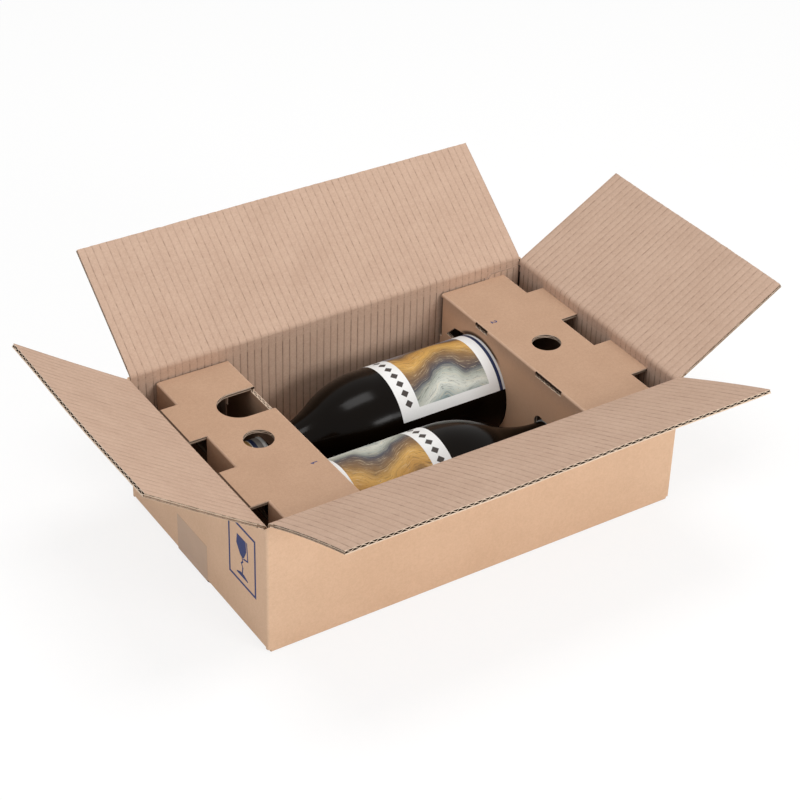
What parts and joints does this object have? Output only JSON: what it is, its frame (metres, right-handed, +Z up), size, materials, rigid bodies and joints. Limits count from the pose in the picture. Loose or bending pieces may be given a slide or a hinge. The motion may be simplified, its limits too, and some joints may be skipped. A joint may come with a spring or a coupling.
{
  "type": "bottle shipping box",
  "caption": "Open corrugated shipping carton with hinged top flaps and folded die-cut end inserts that hold bottles lying head to tail.",
  "frame": {"origin": "middle of the box's underside, on the surface that it stands on", "axes": "+X along the box's long side, towards the end with the whole insert; +Y towards the back; +Z up"},
  "size_m": [0.5591, 0.4035, 0.1869],
  "materials": {
    "carton_board": "matte",
    "flap_board": "matte",
    "insert_board": "matte",
    "tape": "gloss",
    "dark_glass": "gloss",
    "cap_metal": "satin",
    "label_paper": "matte"
  },
  "bodies": {
    "carton": {"carton_body": "carton_board", "closing_tape": "tape", "insert_left": "insert_board", "insert_right": "insert_board", "bottle_back": "dark_glass", "bottle_front": "dark_glass", "cap_back": "cap_metal", "cap_front": "cap_metal", "label_back": "label_paper", "label_front": "label_paper"},
    "flap_back": {"top_flap_back": "flap_board"},
    "flap_front": {"top_flap_front": "flap_board"},
    "flap_left": {"top_flap_left": "flap_board"},
    "flap_right": {"top_flap_right": "flap_board"}
  },
  "joints": [
    {"name": "fold_back", "type": "hinge", "parent": "carton", "child": "flap_back", "pos_m": [0, 0.11, 0.1158], "axis": [-1, 0, 0], "range_deg": [-141.1, 123.9]},
    {"name": "fold_front", "type": "hinge", "parent": "carton", "child": "flap_front", "pos_m": [0, -0.11, 0.1158], "axis": [1, 0, 0], "range_deg": [-153.9, 111.1]},
    {"name": "fold_left", "type": "hinge", "parent": "carton", "child": "flap_left", "pos_m": [-0.18575, 0, 0.1125], "axis": [0, -1, 0], "range_deg": [-146.05, 118.95]},
    {"name": "fold_right", "type": "hinge", "parent": "carton", "child": "flap_right", "pos_m": [0.18575, 0, 0.1125], "axis": [0, 1, 0], "range_deg": [-149.4, 115.6]}
  ]
}
